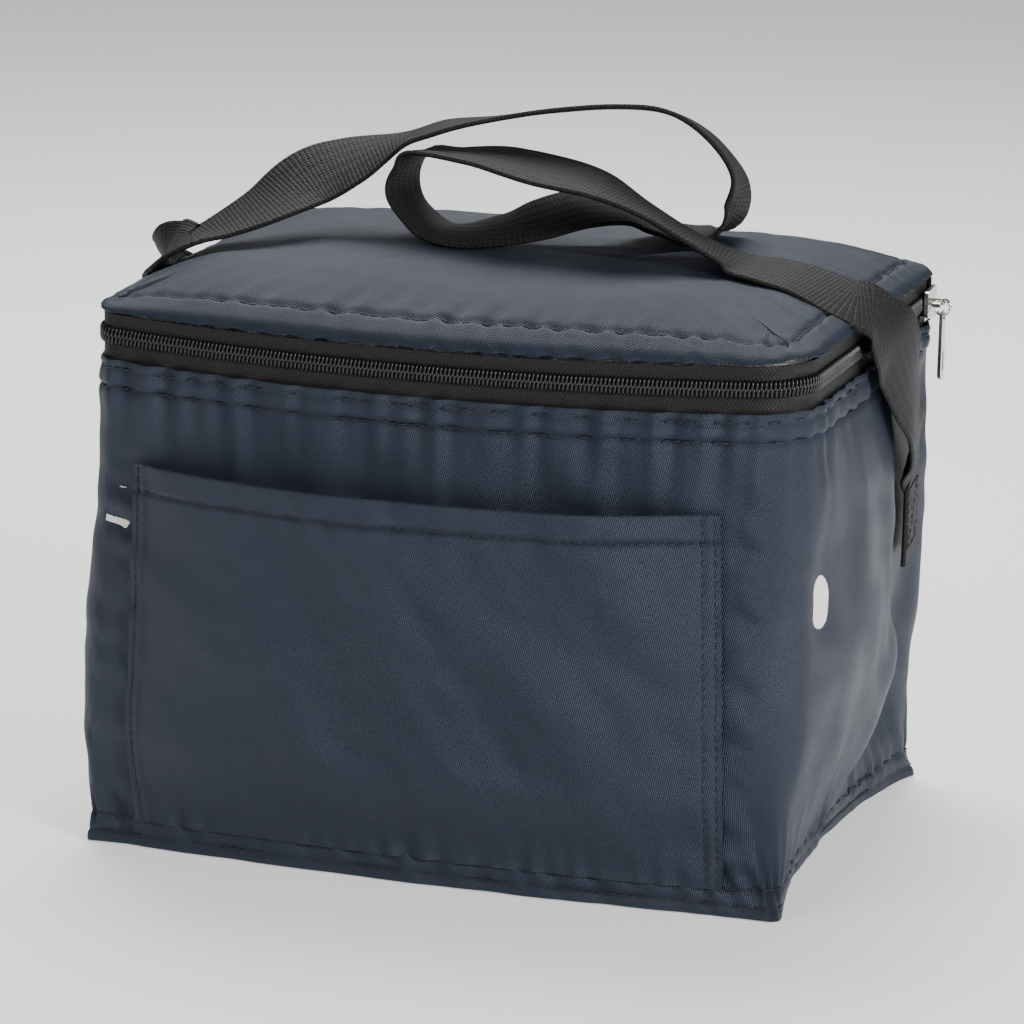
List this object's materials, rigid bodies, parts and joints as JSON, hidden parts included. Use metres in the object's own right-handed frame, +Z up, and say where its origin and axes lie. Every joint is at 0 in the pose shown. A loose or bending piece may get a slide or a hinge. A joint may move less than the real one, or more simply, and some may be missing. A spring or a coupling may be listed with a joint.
{
  "type": "insulated cooler bag",
  "caption": "Soft zipped cooler bag with padded walls, a crowned hinged lid, a front slip pocket and a webbing carry strap.",
  "frame": {"origin": "on the resting face under the middle of the bag", "axes": "+X to the right seen from the front, along the width; +Y towards the back, where the lid is hinged; +Z up"},
  "size_m": [0.2336, 0.1618, 0.2108],
  "materials": {
    "nylon": "coated plain-weave nylon with a soft sheen",
    "webbing": "ribbed polypropylene webbing",
    "zip_tape": "herringbone woven tape",
    "zip_coil": "nylon coil, semi-gloss",
    "foam": "closed-cell polyethylene foam",
    "liner": "silver-white heat-sealed film",
    "binding": "woven binding tape",
    "thread": "navy polyester thread",
    "black_thread": "black polyester thread",
    "nickel": "bright nickel plate"
  },
  "bodies": {
    "bag": {"front_side_wrap": "nylon", "back_panel": "nylon", "bottom_panel": "nylon", "base_seam_allowance": "nylon", "foam_front": "foam", "foam_right": "foam", "foam_back": "foam", "foam_left": "foam", "foam_base": "foam", "wall_liner": "liner", "base_liner": "liner", "inner_rim_binding": "binding", "inner_base_binding": "binding", "zip_tape_lower": "zip_tape", "zip_coil_lower": "zip_coil", "zip_stops": "zip_coil", "zip_end_tabs": "zip_tape", "lid_hinge_tape": "binding", "front_pocket": "nylon", "pocket_hem": "nylon", "pocket_stitching": "thread", "rim_stitching": "thread", "hem_stitching": "thread", "back_corner_seams": "nylon", "carry_strap": "webbing", "strap_end_stitching": "black_thread"},
    "lid": {"lid_cover": "nylon", "lid_foam": "foam", "lid_liner": "liner", "lid_binding": "binding", "lid_stitching": "thread", "zip_tape_upper": "zip_tape", "zip_coil_upper": "zip_coil"},
    "slider": {"zip_slider": "nickel"},
    "link": {"pull_link": "nickel"},
    "tab": {"pull_tab": "nickel"}
  },
  "joints": [
    {"name": "lid_hinge", "type": "hinge", "parent": "bag", "child": "lid", "pos_m": [0, 0.0745, 0.1558], "axis": [-1, 0, 0], "range_deg": [0, 180], "deforming": ["carry_strap", "lid_hinge_tape"]},
    {"name": "slider_travel", "type": "slide", "parent": "bag", "child": "slider", "axis": [0, -1, 0], "range_m": [0, 0.105]},
    {"name": "pull_link_lift", "type": "hinge", "parent": "slider", "child": "link", "pos_m": [0.1124, 0.0575, 0.1497], "axis": [0, -1, 0], "range_deg": [0, 150]},
    {"name": "pull_tab_sway", "type": "hinge", "parent": "link", "child": "tab", "pos_m": [0.1124, 0.0575, 0.14635], "axis": [1, 0, 0], "range_deg": [-75, 75]}
  ]
}
